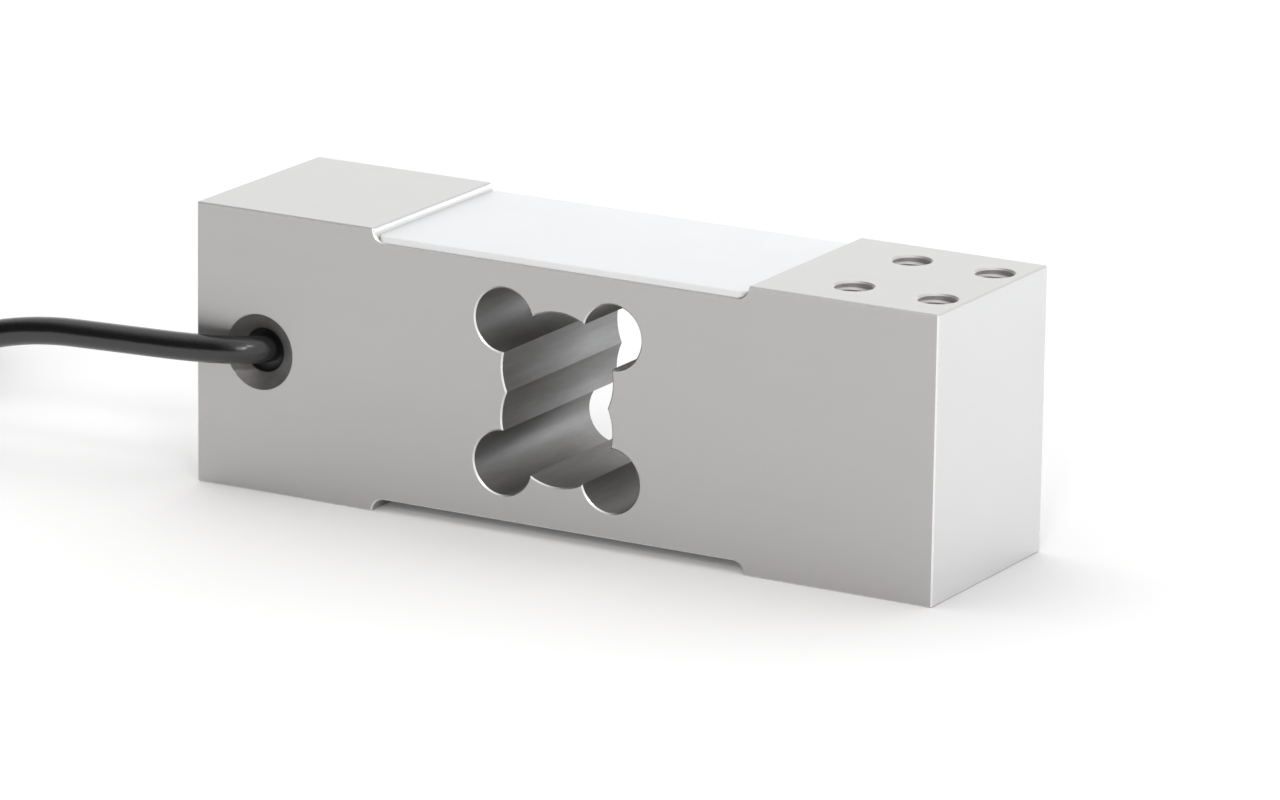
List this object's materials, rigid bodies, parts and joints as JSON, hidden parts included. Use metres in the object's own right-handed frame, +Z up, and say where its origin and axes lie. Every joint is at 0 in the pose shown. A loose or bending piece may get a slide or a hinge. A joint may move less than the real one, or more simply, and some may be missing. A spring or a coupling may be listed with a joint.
{
  "type": "single point load cell",
  "caption": "Aluminium beam load cell with a binocular pocket, silicone over the gauges, tapped end pads and a side cable.",
  "frame": {"origin": "centre of the beam's underside, on the plane of the end pads' lower faces, without the cable", "axes": "+X along the beam towards the load end, +Y across it away from the cable outlet's side, +Z up"},
  "size_m": [0.3478, 0.0853, 0.0608],
  "materials": {
    "aluminium_body": "satin milled aluminium with fine machining marks and bright broken edges",
    "gauge_film": "amber polyimide film",
    "gauge_foil": "etched constantan foil",
    "strip_laminate": "thin green laminate",
    "solder": "bright tin",
    "enamelled_copper": "enamelled copper wire",
    "ribbon_insulation": "plain pale insulation",
    "silicone": "smooth white silicone",
    "board_laminate": "green solder mask",
    "resistor_body": "black ceramic chip",
    "cable_sheath": "black PVC with a soft gloss",
    "core_insulation": "plain insulation",
    "potting_resin": "black epoxy",
    "shrink_sleeve": "black shrink tube",
    "lead_red": "red insulation",
    "lead_black": "black insulation",
    "lead_green": "green insulation",
    "lead_white": "white insulation",
    "tinned_copper": "tinned copper strands"
  },
  "bodies": {
    "root": {"spring_body": "aluminium_body", "gauge_load_top": "gauge_film", "gauge_load_bottom": "gauge_film", "gauge_fixed_top": "gauge_film", "gauge_fixed_bottom": "gauge_film", "grid_load_top": "gauge_foil", "grid_load_bottom": "gauge_foil", "grid_fixed_top": "gauge_foil", "grid_fixed_bottom": "gauge_foil", "strip_top": "strip_laminate", "strip_bottom": "strip_laminate", "strip_pads_top": "solder", "strip_pads_bottom": "solder", "jumpers_top": "enamelled_copper", "jumpers_bottom": "enamelled_copper", "ribbon_top": "ribbon_insulation", "ribbon_bottom": "ribbon_insulation", "coating_top": "silicone", "coating_bottom": "silicone", "bridge_board": "board_laminate", "board_pads": "solder", "trim_resistors": "resistor_body", "cable": "cable_sheath", "cable_cores": "core_insulation", "potting": "potting_resin", "cable_coil": "cable_sheath", "end_sleeve": "shrink_sleeve", "lead_red": "lead_red", "lead_black": "lead_black", "lead_green": "lead_green", "lead_white": "lead_white", "drain_lead": "tinned_copper", "lead_tips": "tinned_copper"}
  },
  "joints": []
}
